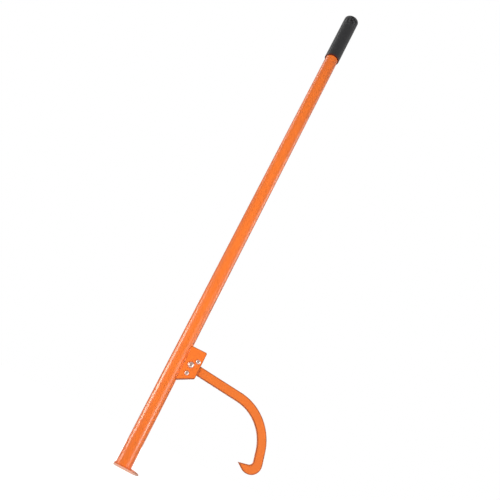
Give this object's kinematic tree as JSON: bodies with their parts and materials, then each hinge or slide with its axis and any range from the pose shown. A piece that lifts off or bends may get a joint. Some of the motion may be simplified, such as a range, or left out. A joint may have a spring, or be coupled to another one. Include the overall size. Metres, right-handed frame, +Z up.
{
  "type": "felling lever",
  "caption": "Long steel felling lever with a lip plate at its foot, a swinging log hook between welded cheeks and a black sleeve grip.",
  "frame": {"origin": "centre of the shaft's axis on the underside of the toe plate", "axes": "+Z up along the shaft to the grip, +X toward the hook and the lip, +Y toward the nuts on the rear cheek"},
  "size_m": [0.2599, 0.05, 1.2],
  "materials": {
    "orange_coat": "semi-gloss orange powder coat over steel",
    "zinc_plate": "bright zinc plating on steel fasteners",
    "black_sleeve": "satin black dip-moulded soft vinyl",
    "nylon": "natural nylon"
  },
  "bodies": {
    "lever": {"shaft_tube": "orange_coat", "toe_plate": "orange_coat", "toe_weld": "orange_coat", "front_cheek": "orange_coat", "rear_cheek": "orange_coat", "front_weld": "orange_coat", "rear_weld": "orange_coat", "pivot_bush": "zinc_plate", "front_thrust_washer": "nylon", "rear_thrust_washer": "nylon", "pivot_screw": "zinc_plate", "pivot_washer": "zinc_plate", "pivot_nut": "zinc_plate", "pivot_nut_insert": "nylon", "stop_screws": "zinc_plate", "stop_washers": "zinc_plate", "stop_nuts": "zinc_plate", "stop_nut_inserts": "nylon", "grip": "black_sleeve"},
    "hook_arm": {"hook": "orange_coat"}
  },
  "joints": [
    {"name": "hook_pivot", "type": "hinge", "parent": "lever", "child": "hook_arm", "pos_m": [0.0285, 0, 0.226], "axis": [0, 1, 0], "range_deg": [-5.8, 30.5]}
  ]
}
